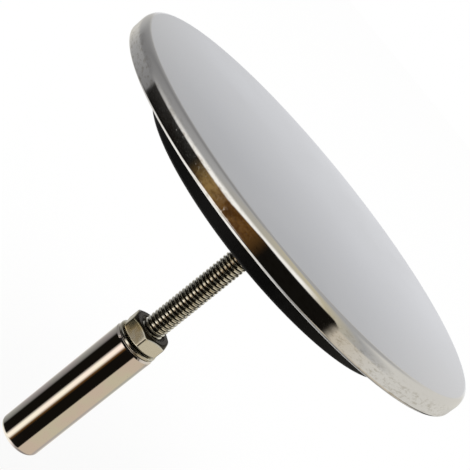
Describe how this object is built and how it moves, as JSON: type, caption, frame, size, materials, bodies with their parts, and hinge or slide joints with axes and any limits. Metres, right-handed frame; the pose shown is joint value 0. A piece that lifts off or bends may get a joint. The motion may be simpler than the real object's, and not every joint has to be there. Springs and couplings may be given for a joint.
{
  "type": "bathtub drain valve",
  "caption": "Bathtub drain plug: round metal cap over a rubber seal, on a threaded stem whose adjusting sleeve, washer and locking nut set the lifting height.",
  "frame": {"origin": "centre of the sleeve's flat foot, the lowest point of the plug, on the plug's axis", "axes": "+Z along the stem from the sleeve's foot to the cap's top face; X and Y are free, because the plug is turned round Z"},
  "size_m": [0.072, 0.072, 0.0625],
  "materials": {
    "chromed_cap": "polished, fine satin on the top face",
    "seal_rubber": "moulded, satin",
    "plated_fasteners": "nickel plated, satin",
    "polished_sleeve": "polished"
  },
  "bodies": {
    "plug_head": {"cap_plate": "chromed_cap", "valve_seal": "seal_rubber", "seal_washer": "plated_fasteners", "seal_nut": "plated_fasteners", "threaded_stem": "plated_fasteners"},
    "washer_carriage": {"lock_washer": "plated_fasteners"},
    "sleeve_body": {"adjusting_sleeve": "polished_sleeve"},
    "nut_body": {"lock_nut": "plated_fasteners"}
  },
  "joints": [
    {"name": "height_adjustment", "type": "slide", "parent": "plug_head", "child": "washer_carriage", "axis": [0, 0, 1], "range_m": [-0.0084, 0.0098]},
    {"name": "sleeve_turn", "type": "hinge", "parent": "washer_carriage", "child": "sleeve_body", "pos_m": [0, 0, 0], "axis": [0, 0, 1], "range_deg": [-4320, 5040]},
    {"name": "nut_turn", "type": "hinge", "parent": "washer_carriage", "child": "nut_body", "pos_m": [0, 0, 0.0271], "axis": [0, 0, 1], "range_deg": [-4320, 5040]}
  ],
  "couplings": [
    {"joint": "sleeve_turn", "follows": "height_adjustment", "rad_per_m": 8976},
    {"joint": "nut_turn", "follows": "height_adjustment", "rad_per_m": 8976}
  ]
}
